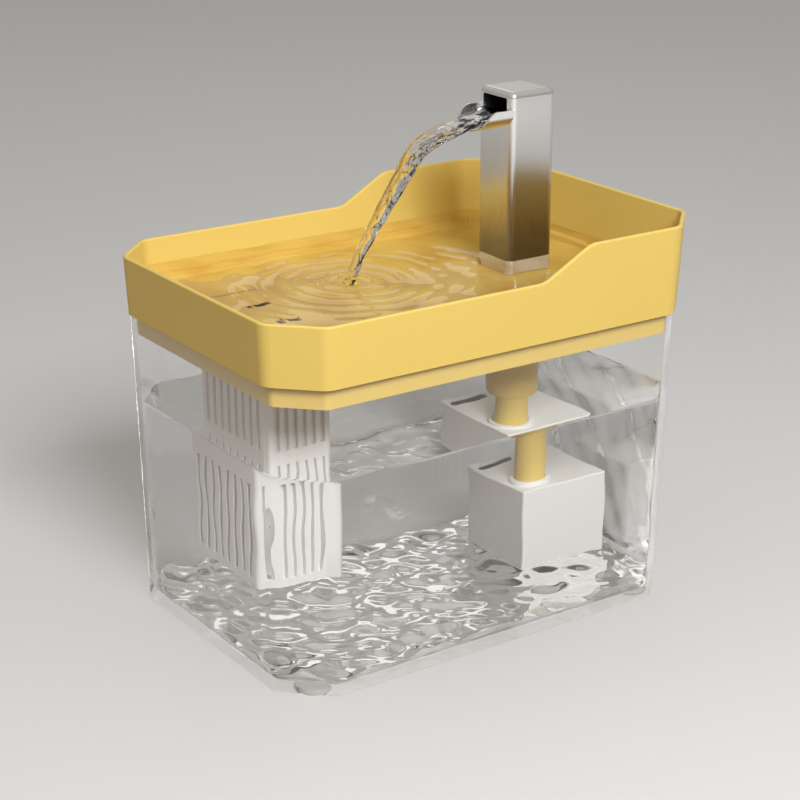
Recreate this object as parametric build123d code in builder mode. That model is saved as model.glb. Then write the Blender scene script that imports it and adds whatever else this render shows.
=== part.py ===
from build123d import *
import os
from math import radians, sqrt, tan

os.makedirs("parts", exist_ok=True)

# Pet water fountain: a clear tank with a pump and a hanging filter cage, a sunk drinking tray on
# its rim, and a square tap that pours into the tray.  Sizes are in millimetres and degrees.
# X runs across, Y from the low drinking end to the tap, Z up; the origin is on the floor under
# the middle of the footprint.

# ---- driving dimensions: the footprint and the tray ----
tray_length = 220.0         # along Y, at the tray's lower edge
tray_width = 156.5          # along X, at the tray's lower edge
corner_cut = 19.0           # leg of the 45 degree corner cut at the tray's lower edge
seam_height = 141.0         # floor to the tray's lower edge, where it sits on the tank's rim
wall_flare = 2.8            # outward lean of the tray's wall
wall_corner_radius = 8.0
low_rim_rise = 27.0         # seam to the rim at the drinking end
high_rim_rise = 40.6        # seam to the rim round the tap
high_end = 69.0             # how far the high rim reaches from the tray's tap end
slope_run = 24.5            # length of the slope between the low rim and the high rim
slope_radius = 13.0
tray_wall = 2.0
tray_ledge = 2.0            # thickness of the ledge that rests on the tank's rim
basin_drop = 9.5            # seam to the underside of the sunk basin
basin_draft = 2.0
basin_corner_radius = 4.0
tray_floor = 2.2
floor_blend = 3.0           # fillet where the basin's floor meets its wall
rim_round = 0.8

# ---- driving dimensions: the tank ----
tank_inset = 0.9            # the tank's face lies in from the tray's lower edge
tank_taper = 1.8            # and this much further in at its base
tank_base_cut = 21.8        # corner cut at the base, taken on the tray's footprint
tank_wall = 2.4
tank_floor = 4.0
tank_corner_radius = 3.5
tank_base_radius = 2.5
tank_floor_blend = 3.0
tank_rim_round = 1.0
basin_gap = 0.4             # between the sunk basin and the tank's inner face
foot_height = 1.5           # how far the feet hold the tank off the floor
foot_radius = 7.5
foot_recess = 1.0
foot_from_side = 19.25      # foot centres, in from the tray's lower edge
foot_from_end = 21.5
foot_gap = 0.1
foot_round = 0.5

# ---- driving dimensions: the cord's way out through the tank's back wall ----
grommet_from_side = 33.25   # in from the -X side
grommet_drop = 20.0         # below the tank's rim
grommet_hole_radius = 4.5
grommet_bore_radius = 2.1
grommet_flange = 1.6        # how far each flange stands out round the hole
grommet_flange_depth = 1.2
grommet_gap = 0.1

# ---- driving dimensions: the tap ----
tap_from_end = 49.0         # the tap, its collar and the outlet pipe share this axis at X = 0
tap_side = 25.0             # square column
tap_height = 99.5
tap_wall = 1.2
tap_edge_radius = 3.0
tap_top_radius = 2.8
window_width = 17.6
window_height = 11.6
window_drop = 2.9           # column top to the top of the spout window
lip_length = 19.7           # column to the lip's front edge
lip_side_height = 7.9       # lip's underside to the top of its cheeks
lip_slope = 0.7             # how far the lip's floor falls to its front edge
lip_thickness = 1.1
lip_step = 0.1              # its floor lies this far below the window's sill
lip_bend_radius = 5.5       # floor to cheek, on the outside
lip_lean = 0.8              # each cheek leans out by this much
lip_narrowing = 1.5         # the lip's front is this much narrower on each side
lip_fall_start = 5.5        # from the column, where the cheeks begin to fall
lip_fall_end = 18.5         # where they have run out into the floor
gasket_thickness = 0.8
gasket_inset = 0.4
stem_radius = 8.6
stem_length = 16.0
stem_bore_radius = 3.2
plug_height = 14.0
plug_gap = 0.15
oring_section = 0.9
oring_gap = 0.05
oring_groove_gap = 0.05
riser_radius = 4.5
riser_bore_radius = 3.2
riser_seat = 3.0            # how far the riser goes into the plug and the liner
riser_gap = 0.1
liner_wall = 1.2
liner_gap = 0.1

# ---- driving dimensions: the collar under the tray and the outlet pipe ----
collar_radius = 13.0
collar_foot_radius = 12.2   # the collar tapers slightly downwards
collar_length = 56.0        # below the tray
collar_bottom_round = 2.5
collar_stem_bore = 9.0
collar_stem_depth = 22.0    # from the tray's floor down to the web
collar_web = 4.0
collar_web_bore = 4.0
collar_neck_radius = 11.0
collar_neck_gap = 0.1
pipe_radius = 8.0
pipe_bore_radius = 6.0
pipe_collar_gap = 0.3
pipe_insertion = 20.0       # how far the pipe stands up inside the collar
pipe_nozzle_gap = 0.1
pipe_seat = 4.0             # how far the pipe reaches down inside the pump's cover
pipe_lead_in = 0.8

# ---- driving dimensions: the pump ----
pump_length = 55.0          # box, along X
pump_width = 50.0           # box, along Y
pump_height = 40.0
outlet_from_side = 14.0     # outlet axis to the box's +X face
outlet_from_front = 12.5    # outlet axis to the box's -Y face
cover_wall = 1.8
cover_edge_radius = 1.2
cover_top_radius = 0.8
cover_post = 3.0
cover_gap = 0.3             # between the cover and the base plate
cup_height = 1.6
cup_radius = 5.0
cup_neck_radius = 2.0
cup_head_height = 1.2
cup_lip = 0.8
cup_gap = 0.05
cup_spacing_x = 40.0
cup_spacing_y = 28.0
base_thickness = 3.0
intake_slots = 8
intake_slot_width = 2.2
intake_slot_height = 22.0
intake_slot_pitch = 4.6
cord_slot_length = 20.0     # slot in the cover's top that lets the pump's cord out
cord_slot_width = 5.0
cord_slot_from_end = 6.5
ring_radius = 10.5
ring_height = 2.2
ring_round = 1.0
ring_pipe_gap = 0.3
rotor_height = 12.0         # rotor axis above the base plate
chamber_radius = 9.0
chamber_wall = 1.2
chamber_length = 12.0
chamber_end_wall = 1.4
eye_radius = 5.6
eye_boss_radius = 3.0
eye_spokes = 3
spoke_width = 1.2
nozzle_bore_radius = 4.2
nozzle_insertion = 13.0     # how far the nozzle stands up inside the pipe
shoulder_thickness = 2.0    # the pipe stands on this shoulder
motor_length = 29.9
motor_front = 9.9           # rotor axis to the motor's -Y face
motor_back = 21.0           # rotor axis to the motor's +Y face
motor_rise = 10.0           # rotor axis to the motor's top
motor_drop = 10.0           # rotor axis to the motor's underside
motor_edge_radius = 2.0
saddle_inset = 9.0
saddle_width = 3.0
rotor_bore_radius = 5.3
magnet_radius = 4.7
magnet_length = 26.0
magnet_chamfer = 0.6
magnet_end_gap = 1.0
shaft_radius = 1.0
shaft_running_gap = 0.05
bush_radius = 2.0
bush_length = 2.0
bush_gap = 0.02
impeller_radius = 8.0
impeller_hub_radius = 2.6
impeller_length = 7.0
impeller_blades = 6
blade_thickness = 1.0
sponge_thickness = 2.4
sponge_gap = 0.3
sponge_height = 32.0
gland_radius = 3.2
gland_height = 4.0
gland_bore_radius = 1.9
gland_x = -24.0
gland_offset = 9.0          # from the rotor's axis towards the back

# ---- driving dimensions: the filter cage and its cassette ----
cage_length = 57.0          # along X
cage_width = 33.0           # along Y
cage_from_end = 35.5        # the cage's middle, from the tray's drinking end
cage_depth = 97.2           # from the tray's floor down to the cage's underside
cage_wall = 1.8
cage_corner_radius = 3.0
cage_flange = 3.0           # how far the flange stands out round the cage
cage_flange_height = 1.6
cage_gap = 0.4              # between the cage and the opening in the tray's floor
slot_width = 2.4
long_side_slots = 8
long_side_pitch = 6.2
short_side_slots = 6
short_side_pitch = 4.5
cage_foot_band = 3.5        # plain band under the lower row of slots
lower_slot_height = 44.0
cage_middle_band = 12.0     # plain band between the two rows of slots
cage_top_band = 7.7         # plain band between the upper row and the tray's floor
floor_slot_count = 7
floor_slot_length = 24.0
floor_slot_pitch = 7.0
cap_gap = 0.4               # between the drain cap's skirt and the cage's flange
cap_wall = 1.6
cap_plate = 2.0
cap_lift = 0.3              # the cap's skirt stops this far above the tray's floor
cap_corner_radius = 5.0
cap_edge_round = 0.8
drain_spacing = 25.5
drain_length = 11.0
drain_width = 5.0
drain_offset = 4.5          # the drains lie this far back from the cap's middle
drain_bridge = 1.2
drain_bridge_place = 3.2    # bridge centre from the drain's front end
cassette_gap = 0.4
cassette_wall = 1.2
cassette_floor_gap = 1.0
cassette_hole_radius = 2.0
cassette_hole_pitch = 7.5
cassette_hole_columns = 6
cassette_hole_rows = 3
pad_gap = 0.2
pad_corner_radius = 1.5
lower_pad_height = 12.0
resin_height = 30.0
upper_pad_height = 10.0
pad_headroom = 10.8         # from the upper pad to the drain cap

# ---- values worked out from the driving dimensions ----
flare = tan(radians(wall_flare))
draft = tan(radians(basin_draft))
cut_share = 2 - sqrt(2)     # a 45 degree corner cut shrinks this much per unit of inset
tank_height = seam_height - foot_height
tank_floor_top = foot_height + tank_floor
slope_end = tray_length / 2 - high_end
slope_start = slope_end - slope_run
foot_x = tray_width / 2 - foot_from_side
foot_y = tray_length / 2 - foot_from_end
grommet_x = grommet_from_side - tray_width / 2
grommet_height = seam_height - grommet_drop
basin_inset = tank_inset + tank_wall + basin_gap
basin_bottom = seam_height - basin_drop
floor_top = basin_bottom + tray_floor
low_rim = seam_height + low_rim_rise
high_rim = seam_height + high_rim_rise
tap_y = tray_length / 2 - tap_from_end
tap_front = tap_y - tap_side / 2
tap_base = floor_top + gasket_thickness
tap_top = tap_base + tap_height
collar_bottom = basin_bottom - collar_length
window_top = tap_top - window_drop
window_sill = window_top - window_height
pump_x = outlet_from_side - pump_length / 2
pump_y = tap_y - outlet_from_front + pump_width / 2
pump_bottom = tank_floor_top + cup_height
pump_top = pump_bottom + pump_height
base_top = pump_bottom + base_thickness
rotor_z = base_top + rotor_height
chamber_back = -chamber_length / 2
chamber_front = chamber_length / 2 + chamber_end_wall
saddle_height = rotor_height - motor_drop
motor_end = chamber_back - motor_length
cage_y = cage_from_end - tray_length / 2
cage_bottom = floor_top - cage_depth
lower_slot_bottom = cage_bottom + cage_foot_band
lower_slot_top = lower_slot_bottom + lower_slot_height
upper_slot_bottom = lower_slot_top + cage_middle_band
upper_slot_top = floor_top - cage_top_band
over_cut = 5.0              # how far a cutting tool runs past the face that it cuts


def outline(inset, radius, cut=corner_cut):
    """Footprint moved inwards by inset: a rectangle with its corners cut at 45 degrees and rounded."""
    with BuildSketch() as plan:
        Rectangle(tray_width - 2 * inset, tray_length - 2 * inset)
        chamfer(plan.vertices(), cut - cut_share * inset)
        fillet(plan.vertices(), radius)
    return plan.sketch


def tank_inset_at(height):
    """How far the tank's outer face lies in from the footprint at a height."""
    return tank_inset + tank_taper * (seam_height - height) / tank_height


def tank_cut_at(height):
    """The tank's corner cut at a height, taken on the footprint."""
    return corner_cut + (tank_base_cut - corner_cut) * (seam_height - height) / tank_height


# ---------------------------------------------------------------- tank and its feet
with BuildPart() as tank:
    for level in (foot_height, seam_height):
        with BuildSketch(Plane.XY.offset(level)):
            add(outline(tank_inset_at(level), tank_corner_radius, tank_cut_at(level)))
    loft(ruled=True)
    fillet(tank.faces().sort_by(Axis.Z)[0].edges(), tank_base_radius)
    for level in (tank_floor_top, seam_height):
        with BuildSketch(Plane.XY.offset(level)):
            add(outline(tank_inset_at(level) + tank_wall, tank_corner_radius, tank_cut_at(level)))
    loft(ruled=True, mode=Mode.SUBTRACT)
    inner_floor = tank.faces().filter_by(Axis.Z).filter_by_position(
        Axis.Z, tank_floor_top - 0.01, tank_floor_top + 0.01
    )[0]
    fillet(inner_floor.edges(), tank_floor_blend)
    fillet(tank.faces().sort_by(Axis.Z)[-1].edges(), tank_rim_round)
    with BuildSketch(Plane.XY.offset(foot_height)):
        with GridLocations(2 * foot_x, 2 * foot_y, 2, 2):
            Circle(foot_radius + foot_gap)
    extrude(amount=foot_recess, mode=Mode.SUBTRACT)
    with BuildSketch(Plane.XZ.offset(-tray_length / 2)):
        with Locations((grommet_x, grommet_height)):
            Circle(grommet_hole_radius)
    extrude(amount=tank_inset_at(grommet_height) + tank_wall + over_cut, mode=Mode.SUBTRACT)
tank.part.label = "tank"
export_step(tank.part, "parts/tank.step")

with BuildPart() as foot_pads:
    with BuildSketch():
        with GridLocations(2 * foot_x, 2 * foot_y, 2, 2):
            Circle(foot_radius)
    extrude(amount=foot_height + foot_recess)
    fillet(foot_pads.faces().group_by(Axis.Z)[0].edges(), foot_round)
foot_pads.part.label = "foot_pads"
export_step(foot_pads.part, "parts/foot_pads.step")

# ---------------------------------------------------------------- cord grommet
grommet_outer_face = tray_length / 2 - tank_inset_at(grommet_height)
with BuildPart() as cord_grommet:
    with BuildSketch(Plane((grommet_x, grommet_outer_face, grommet_height))):
        with BuildLine():
            Polyline(
                (grommet_bore_radius, grommet_flange_depth),
                (grommet_hole_radius + grommet_flange, grommet_flange_depth),
                (grommet_hole_radius + grommet_flange, grommet_gap),
                (grommet_hole_radius - grommet_gap, grommet_gap),
                (grommet_hole_radius - grommet_gap, -tank_wall - grommet_gap),
                (grommet_hole_radius + grommet_flange, -tank_wall - grommet_gap),
                (grommet_hole_radius + grommet_flange, -tank_wall - grommet_flange_depth),
                (grommet_bore_radius, -tank_wall - grommet_flange_depth),
                close=True,
            )
        make_face()
    revolve(axis=Axis((grommet_x, 0, grommet_height), (0, 1, 0)))
cord_grommet.part.label = "cord_grommet"
export_step(cord_grommet.part, "parts/cord_grommet.step")

# ---------------------------------------------------------------- drinking tray
with BuildPart() as tray:
    for rise in (0, high_rim_rise):
        with BuildSketch(Plane.XY.offset(seam_height + rise)):
            add(outline(-rise * flare, wall_corner_radius + rise * flare))
    loft(ruled=True)
    for drop in (0, basin_drop):
        with BuildSketch(Plane.XY.offset(seam_height - drop)):
            add(outline(basin_inset + drop * draft, basin_corner_radius))
    loft(ruled=True)
    for rise in (tray_ledge, high_rim_rise + over_cut):
        with BuildSketch(Plane.XY.offset(seam_height + rise)):
            add(outline(tray_wall - rise * flare, wall_corner_radius - tray_wall + rise * flare))
    loft(ruled=True, mode=Mode.SUBTRACT)
    for level in (floor_top, seam_height + tray_ledge):
        with BuildSketch(Plane.XY.offset(level)):
            add(outline(basin_inset + tray_wall + (seam_height - level) * draft, basin_corner_radius))
    loft(ruled=True, mode=Mode.SUBTRACT)
    with BuildSketch(Plane.YZ):
        with BuildLine():
            rim_line = FilletPolyline(
                (-tray_length, low_rim),
                (slope_start, low_rim),
                (slope_end, high_rim),
                (tray_length, high_rim),
                radius=slope_radius,
            )
            Polyline(
                rim_line @ 1,
                (tray_length, high_rim + over_cut),
                (-tray_length, high_rim + over_cut),
                rim_line @ 0,
            )
        make_face()
    extrude(amount=tray_width, both=True, mode=Mode.SUBTRACT)
    basin_floor = tray.faces().filter_by(Axis.Z).filter_by_position(
        Axis.Z, floor_top - 0.01, floor_top + 0.01
    )[0]
    fillet(basin_floor.edges(), floor_blend)
    rim_faces = [
        face
        for face in tray.faces().filter_by_position(Axis.Z, low_rim - 0.01, high_rim + 0.01)
        if face.normal_at(face.center()).Z > 0.5
    ]
    rim_edges = [edge for face in rim_faces for edge in face.edges() if edge.length > 1.5 * tray_wall]
    fillet(rim_edges, rim_round)
    with BuildSketch(Plane.XY.offset(basin_bottom)):
        with Locations((0, cage_y)):
            RectangleRounded(
                cage_length + 2 * cage_gap, cage_width + 2 * cage_gap, cage_corner_radius + cage_gap
            )
        with Locations((0, tap_y)):
            Circle(collar_neck_radius + collar_neck_gap)
    extrude(amount=tray_floor, mode=Mode.SUBTRACT)
tray.part.label = "tray"
export_step(tray.part, "parts/tray.step")

# ---------------------------------------------------------------- collar under the tray
with BuildPart() as outlet_collar:
    with BuildSketch(Plane.XZ.offset(-tap_y)):
        with BuildLine():
            Polyline(
                (collar_stem_bore, floor_top),
                (collar_neck_radius, floor_top),
                (collar_neck_radius, basin_bottom),
                (collar_radius, basin_bottom),
                (collar_foot_radius, collar_bottom),
                (pipe_radius + pipe_collar_gap, collar_bottom),
                (pipe_radius + pipe_collar_gap, floor_top - collar_stem_depth - collar_web),
                (collar_web_bore, floor_top - collar_stem_depth - collar_web),
                (collar_web_bore, floor_top - collar_stem_depth),
                (collar_stem_bore, floor_top - collar_stem_depth),
                close=True,
            )
        make_face()
    revolve(axis=Axis((0, tap_y, 0), (0, 0, 1)))
    fillet(
        outlet_collar.edges().filter_by(GeomType.CIRCLE).group_by(Axis.Z)[0].sort_by(SortBy.RADIUS)[-1],
        collar_bottom_round,
    )
outlet_collar.part.label = "outlet_collar"
export_step(outlet_collar.part, "parts/outlet_collar.step")

# ---------------------------------------------------------------- tap column
with BuildPart() as tap_column:
    with BuildSketch(Plane.XY.offset(tap_base)):
        with Locations((0, tap_y)):
            RectangleRounded(tap_side, tap_side, tap_edge_radius)
    extrude(amount=tap_top - tap_base)
    fillet(tap_column.faces().sort_by(Axis.Z)[-1].edges(), tap_top_radius)
    tap_bore = tap_side - 2 * tap_wall
    with BuildSketch(Plane.XY.offset(tap_base)):
        with Locations((0, tap_y)):
            RectangleRounded(tap_bore, tap_bore, tap_edge_radius - tap_wall)
    extrude(amount=tap_top - tap_wall - tap_base, mode=Mode.SUBTRACT)
    with BuildSketch(Plane.XZ.offset(-tap_y)):
        with Locations((0, (window_sill + window_top) / 2)):
            RectangleRounded(window_width, window_height, rim_round)
    extrude(amount=tap_side, mode=Mode.SUBTRACT)
tap_column.part.label = "tap_column"
export_step(tap_column.part, "parts/tap_column.step")

# ---------------------------------------------------------------- spout lip
lip_under = window_sill - lip_step - lip_thickness
lip_top = lip_under + lip_side_height
lip_back = tap_front + tap_edge_radius
lip_front = tap_front - lip_length
front_under = lip_under - lip_slope
front_floor = front_under + lip_thickness


def lip_section(half_width, under, inset=0.0, rise=0.0):
    """Channel across the lip: a flat floor, round bends and cheeks that lean out, moved in by inset."""
    lean_per_height = lip_lean / (lip_top - under)
    floor_half_width = half_width - lip_lean - inset
    rim_half_width = half_width - inset + rise * lean_per_height
    with BuildSketch() as section:
        with BuildLine():
            Polyline(
                (-rim_half_width, lip_top + rise),
                (-floor_half_width, under + inset),
                (floor_half_width, under + inset),
                (rim_half_width, lip_top + rise),
                close=True,
            )
        make_face()
        fillet(section.vertices().group_by(Axis.Y)[0], lip_bend_radius - inset)
    return section.sketch


lip_ends = (
    (lip_back, tap_side / 2, lip_under),
    (lip_front, tap_side / 2 - lip_narrowing, front_under),
)
with BuildPart() as spout_lip:
    for place, half_width, under in lip_ends:
        with BuildSketch(Plane((0, place, 0), x_dir=(1, 0, 0), z_dir=(0, -1, 0))):
            add(lip_section(half_width, under))
    loft(ruled=True)
    for place, half_width, under in lip_ends:
        with BuildSketch(Plane((0, place, 0), x_dir=(1, 0, 0), z_dir=(0, -1, 0))):
            add(lip_section(half_width, under, lip_thickness, over_cut))
    loft(ruled=True, mode=Mode.SUBTRACT)
    with BuildSketch(Plane.YZ):
        with BuildLine():
            rim = Line((lip_back, lip_top), (tap_front - lip_fall_start, lip_top))
            fall = Spline(
                rim @ 1,
                (tap_front - lip_fall_end, front_floor),
                tangents=((-1, 0), (-1, 0)),
            )
            Polyline(
                fall @ 1,
                (lip_front, front_floor),
                (lip_front, front_under - over_cut),
                (lip_back, front_under - over_cut),
                rim @ 0,
            )
        make_face()
    extrude(amount=tap_side, both=True, mode=Mode.INTERSECT)
    with BuildSketch(Plane.XY.offset(front_under)):
        with Locations((0, tap_y)):
            RectangleRounded(tap_side, tap_side, tap_edge_radius)
    extrude(amount=lip_top - front_under, mode=Mode.SUBTRACT)
spout_lip.part.label = "spout_lip"
export_step(spout_lip.part, "parts/spout_lip.step")

# ---------------------------------------------------------------- tap's base plug, seals and riser
plug_side = tap_bore - 2 * plug_gap
plug_bottom = tap_base
plug_top = plug_bottom + plug_height
oring_z = floor_top - stem_length / 2
with BuildPart() as tap_plug:
    with BuildSketch(Plane.XY.offset(plug_bottom)):
        with Locations((0, tap_y)):
            RectangleRounded(plug_side, plug_side, tap_edge_radius - tap_wall)
    extrude(amount=plug_height)
    with BuildSketch(Plane.XY.offset(plug_bottom)):
        with Locations((0, tap_y)):
            Circle(stem_radius)
    extrude(amount=-gasket_thickness - stem_length)
    with BuildSketch(Plane.XY.offset(plug_top - riser_seat)):
        with Locations((0, tap_y)):
            Circle(riser_radius + riser_gap)
    extrude(amount=riser_seat, mode=Mode.SUBTRACT)
    with BuildSketch(Plane.XY.offset(floor_top - stem_length)):
        with Locations((0, tap_y)):
            Circle(stem_bore_radius)
    extrude(amount=stem_length + gasket_thickness + plug_height, mode=Mode.SUBTRACT)
    with BuildSketch(Plane.XZ.offset(-tap_y)):
        with Locations((collar_stem_bore - oring_gap - oring_section, oring_z)):
            Rectangle(2 * (oring_section + oring_groove_gap), 2 * (oring_section + oring_groove_gap))
    revolve(axis=Axis((0, tap_y, 0), (0, 0, 1)), mode=Mode.SUBTRACT)
tap_plug.part.label = "tap_plug"
export_step(tap_plug.part, "parts/tap_plug.step")

with BuildPart() as stem_oring:
    with BuildSketch(Plane.XZ.offset(-tap_y)):
        with Locations((collar_stem_bore - oring_gap - oring_section, oring_z)):
            Circle(oring_section)
    revolve(axis=Axis((0, tap_y, 0), (0, 0, 1)))
stem_oring.part.label = "stem_oring"
export_step(stem_oring.part, "parts/stem_oring.step")

with BuildPart() as tap_gasket:
    gasket_side = tap_side - 2 * gasket_inset
    with BuildSketch(Plane.XY.offset(floor_top)):
        with Locations((0, tap_y)):
            RectangleRounded(gasket_side, gasket_side, tap_edge_radius)
            Circle(stem_radius + plug_gap, mode=Mode.SUBTRACT)
    extrude(amount=gasket_thickness)
tap_gasket.part.label = "tap_gasket"
export_step(tap_gasket.part, "parts/tap_gasket.step")

liner_side = tap_bore - 2 * liner_gap
liner_top = tap_top - tap_wall - liner_gap
liner_bottom = window_sill - liner_wall - riser_seat
with BuildPart() as spout_liner:
    with BuildSketch(Plane.XY.offset(liner_bottom)):
        with Locations((0, tap_y)):
            RectangleRounded(liner_side, liner_side, tap_edge_radius - tap_wall)
    extrude(amount=liner_top - liner_bottom)
    fillet(spout_liner.faces().sort_by(Axis.Z)[-1].edges(), tap_top_radius - tap_wall)
    with BuildSketch(Plane.XZ.offset(-tap_y)):
        with Locations((0, (window_sill + window_top) / 2)):
            Rectangle(window_width, window_height)
    extrude(amount=tap_side, both=True, mode=Mode.SUBTRACT)
    with BuildSketch(Plane.XZ.offset(-tap_y - liner_side / 2)):
        with Locations((0, (window_sill + window_top) / 2)):
            Rectangle(liner_side - 2 * liner_wall, window_height + 2 * liner_wall)
    extrude(amount=liner_wall)
    with BuildSketch(Plane.XY.offset(liner_bottom)):
        with Locations((0, tap_y)):
            Circle(riser_radius + riser_gap)
    extrude(amount=riser_seat, mode=Mode.SUBTRACT)
    with BuildSketch(Plane.XY.offset(liner_bottom)):
        with Locations((0, tap_y)):
            Circle(riser_bore_radius)
    extrude(amount=riser_seat + liner_wall, mode=Mode.SUBTRACT)
spout_liner.part.label = "spout_liner"
export_step(spout_liner.part, "parts/spout_liner.step")

with BuildPart() as riser_tube:
    with BuildSketch(Plane.XY.offset(plug_top - riser_seat)):
        with Locations((0, tap_y)):
            Circle(riser_radius)
            Circle(riser_bore_radius, mode=Mode.SUBTRACT)
    extrude(amount=liner_bottom - plug_top + 2 * riser_seat)
riser_tube.part.label = "riser_tube"
export_step(riser_tube.part, "parts/riser_tube.step")

# ---------------------------------------------------------------- outlet pipe
pipe_bottom = pump_top - cover_wall - pipe_seat
pipe_top = collar_bottom + pipe_insertion
with BuildPart() as outlet_pipe:
    with BuildSketch(Plane.XY.offset(pipe_bottom)):
        with Locations((0, tap_y)):
            Circle(pipe_radius)
            Circle(pipe_bore_radius, mode=Mode.SUBTRACT)
    extrude(amount=pipe_top - pipe_bottom)
    chamfer(outlet_pipe.edges().group_by(Axis.Z)[-1].sort_by(SortBy.RADIUS)[-1], pipe_lead_in)
outlet_pipe.part.label = "outlet_pipe"
export_step(outlet_pipe.part, "parts/outlet_pipe.step")

# ---------------------------------------------------------------- pump base and its suction cups
cover_inner_length = pump_length - 2 * cover_wall
cover_inner_width = pump_width - 2 * cover_wall
with BuildPart() as pump_base:
    with BuildSketch(Plane.XY.offset(pump_bottom)):
        with Locations((pump_x, pump_y)):
            Rectangle(cover_inner_length - 2 * cover_gap, cover_inner_width - 2 * cover_gap)
    extrude(amount=base_thickness)
    fillet(pump_base.edges().filter_by(Axis.Z), cover_edge_radius)
    with BuildSketch(Plane.XY.offset(pump_bottom)):
        with Locations((pump_x, pump_y)):
            with GridLocations(cup_spacing_x, cup_spacing_y, 2, 2):
                Circle(cup_neck_radius + cup_gap)
    extrude(amount=base_thickness, mode=Mode.SUBTRACT)
    for saddle_x in (motor_end + saddle_inset, chamber_back - saddle_inset):
        with BuildSketch(Plane.YZ.offset(saddle_x)):
            with Locations((tap_y + (motor_back - motor_front) / 2, base_top + saddle_height / 2)):
                Rectangle(motor_front + motor_back - 2 * motor_edge_radius, saddle_height)
        extrude(amount=saddle_width / 2, both=True)
pump_base.part.label = "pump_base"
export_step(pump_base.part, "parts/pump_base.step")

with BuildPart() as suction_cups:
    for spot in GridLocations(cup_spacing_x, cup_spacing_y, 2, 2):
        cup_x = pump_x + spot.position.X
        cup_y = pump_y + spot.position.Y
        with BuildSketch(Plane((cup_x, cup_y, tank_floor_top), x_dir=(1, 0, 0), z_dir=(0, -1, 0))):
            with BuildLine():
                Polyline(
                    (0, cup_height / 2),
                    (cup_radius - cup_height / 2, 0),
                    (cup_radius, 0),
                    (cup_neck_radius + cup_lip, cup_height),
                    (cup_neck_radius, cup_height),
                    (cup_neck_radius, cup_height + base_thickness),
                    (cup_neck_radius + cup_lip, cup_height + base_thickness),
                    (cup_neck_radius, cup_height + base_thickness + cup_head_height),
                    (0, cup_height + base_thickness + cup_head_height),
                    close=True,
                )
            make_face()
        revolve(axis=Axis((cup_x, cup_y, 0), (0, 0, 1)))
suction_cups.part.label = "suction_cups"
export_step(suction_cups.part, "parts/suction_cups.step")

# ---------------------------------------------------------------- pump motor, shaft and rotor
bore_end = chamber_back - magnet_length - magnet_end_gap
bush_end = bore_end - bush_length
with BuildPart() as pump_motor:
    with BuildSketch(Plane.YZ.offset(motor_end)):
        with Locations((tap_y + (motor_back - motor_front) / 2, rotor_z + (motor_rise - motor_drop) / 2)):
            RectangleRounded(motor_front + motor_back, motor_rise + motor_drop, motor_edge_radius)
    extrude(amount=motor_length)
    with BuildSketch(Plane.YZ.offset(bore_end)):
        with Locations((tap_y, rotor_z)):
            Circle(rotor_bore_radius)
    extrude(amount=chamber_back - bore_end, mode=Mode.SUBTRACT)
    with BuildSketch(Plane.YZ.offset(bush_end)):
        with Locations((tap_y, rotor_z)):
            Circle(bush_radius + bush_gap)
    extrude(amount=bush_length, mode=Mode.SUBTRACT)
pump_motor.part.label = "pump_motor"
export_step(pump_motor.part, "parts/pump_motor.step")

with BuildPart() as motor_gland:
    gland_plane = Plane((gland_x, tap_y + gland_offset, rotor_z + motor_rise))
    with BuildSketch(gland_plane):
        Circle(gland_radius)
        Circle(gland_bore_radius, mode=Mode.SUBTRACT)
    extrude(amount=gland_height)
    chamfer(motor_gland.edges().group_by(Axis.Z)[-1].sort_by(SortBy.RADIUS)[-1], cover_top_radius)
motor_gland.part.label = "motor_gland"
export_step(motor_gland.part, "parts/motor_gland.step")

nozzle_radius = pipe_bore_radius - pipe_nozzle_gap
with BuildPart() as impeller_chamber:
    with BuildSketch(Plane.YZ.offset(chamber_back)):
        with Locations((tap_y, rotor_z)):
            Circle(chamber_radius + chamber_wall)
    extrude(amount=chamber_front - chamber_back)
    with BuildSketch(Plane.XY.offset(rotor_z)):
        with Locations((0, tap_y)):
            Circle(nozzle_radius)
    extrude(amount=pipe_bottom - rotor_z + nozzle_insertion)
    with BuildSketch(Plane.XY.offset(pipe_bottom - shoulder_thickness)):
        with Locations((0, tap_y)):
            Circle(pipe_radius)
    extrude(amount=shoulder_thickness)
    with BuildSketch(Plane.XY.offset(rotor_z)):
        with Locations((0, tap_y)):
            Circle(nozzle_bore_radius)
    extrude(amount=pump_height, mode=Mode.SUBTRACT)
    with BuildSketch(Plane.YZ.offset(chamber_back)):
        with Locations((tap_y, rotor_z)):
            Circle(chamber_radius)
    extrude(amount=chamber_length, mode=Mode.SUBTRACT)
    with BuildSketch(Plane.YZ.offset(chamber_front - chamber_end_wall)):
        with Locations((tap_y, rotor_z)):
            Circle(eye_radius)
            Circle(eye_boss_radius, mode=Mode.SUBTRACT)
            with PolarLocations(0, eye_spokes):
                Rectangle(2 * eye_radius, spoke_width, align=(Align.MIN, Align.CENTER), mode=Mode.SUBTRACT)
    extrude(amount=chamber_end_wall, mode=Mode.SUBTRACT)
    with BuildSketch(Plane.YZ.offset(chamber_front - bush_length)):
        with Locations((tap_y, rotor_z)):
            Circle(eye_boss_radius)
    extrude(amount=bush_length)
    with BuildSketch(Plane.YZ.offset(chamber_front - bush_length)):
        with Locations((tap_y, rotor_z)):
            Circle(bush_radius + bush_gap)
    extrude(amount=bush_length, mode=Mode.SUBTRACT)
impeller_chamber.part.label = "impeller_chamber"
export_step(impeller_chamber.part, "parts/impeller_chamber.step")

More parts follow.
